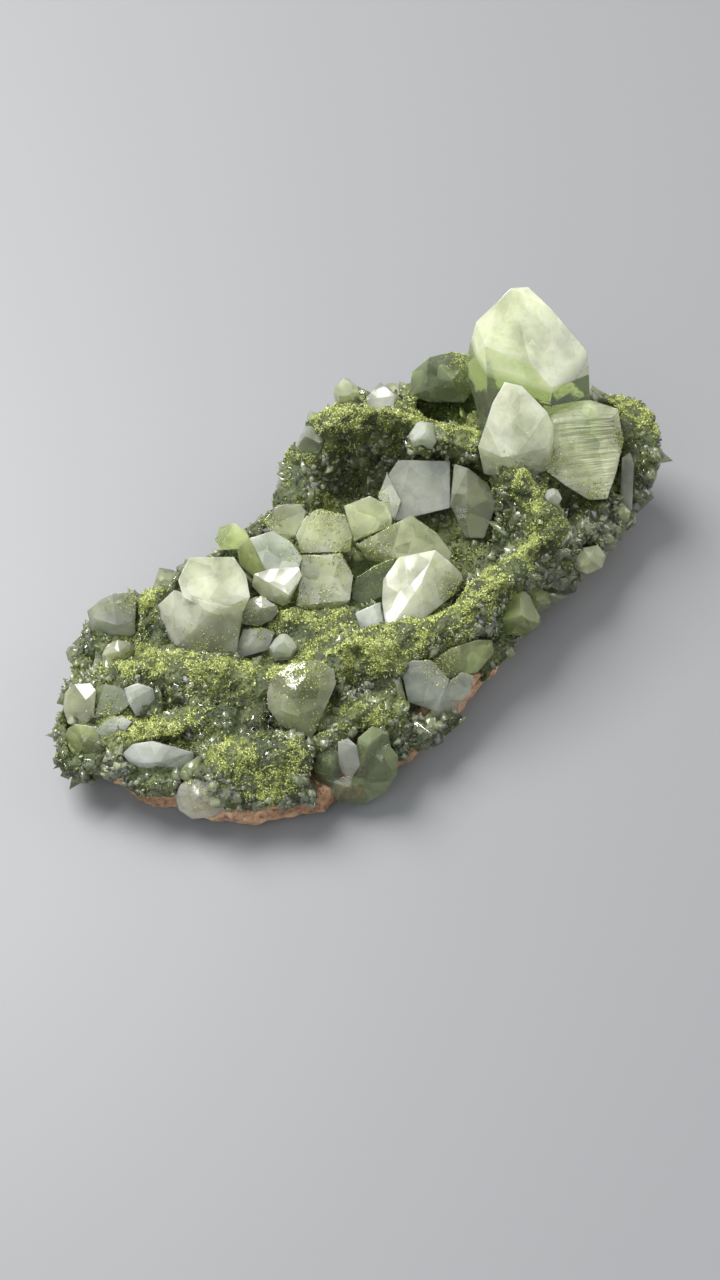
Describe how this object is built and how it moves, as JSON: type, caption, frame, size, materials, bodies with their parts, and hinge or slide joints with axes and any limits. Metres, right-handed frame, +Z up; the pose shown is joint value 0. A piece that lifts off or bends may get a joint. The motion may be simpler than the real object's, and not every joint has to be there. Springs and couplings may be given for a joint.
{
  "type": "mineral specimen of epidote with quartz",
  "caption": "Hand-sized mineral specimen: pale green quartz points standing in a ridged crust of green epidote on a thin brown plate of rock, resting on its flat underside.",
  "frame": {"origin": "on the flat underside of the host rock, under the middle of the specimen's outline in plan", "axes": "+X along the specimen's length towards the tall quartz point's end, +Y across it towards the far ridge, +Z up from the surface that it rests on"},
  "size_m": [0.1171, 0.0606, 0.0422],
  "materials": {
    "host_rock": "matte",
    "epidote": "satin",
    "quartz": "polished"
  },
  "bodies": {
    "root": {"host_rock": "host_rock", "epidote_crust": "epidote", "quartz_tall_cluster": "quartz", "quartz_right_corner": "quartz", "quartz_right_pendant": "quartz", "quartz_near_right_knob": "quartz", "quartz_near_wall": "quartz", "quartz_near_slope": "quartz", "quartz_front_nest": "quartz", "quartz_dusted_knob": "quartz", "quartz_front_left": "quartz", "quartz_lying_point": "quartz", "quartz_left_end": "quartz", "quartz_left_block": "quartz", "quartz_pale_cluster": "quartz", "quartz_middle_cluster": "quartz", "quartz_bright_point": "quartz", "quartz_bright_small": "quartz", "quartz_basin_pair": "quartz", "quartz_white_bead": "quartz", "quartz_ridge_bead": "quartz", "quartz_rim_white": "quartz", "quartz_rim_peak": "quartz", "quartz_rim_round": "quartz", "quartz_rim_facet": "quartz", "quartz_back_left": "quartz", "quartz_back_left_small": "quartz", "quartz_back_middle": "quartz", "quartz_back_right": "quartz", "quartz_back_right_small": "quartz", "quartz_back_corner": "quartz"}
  },
  "joints": []
}
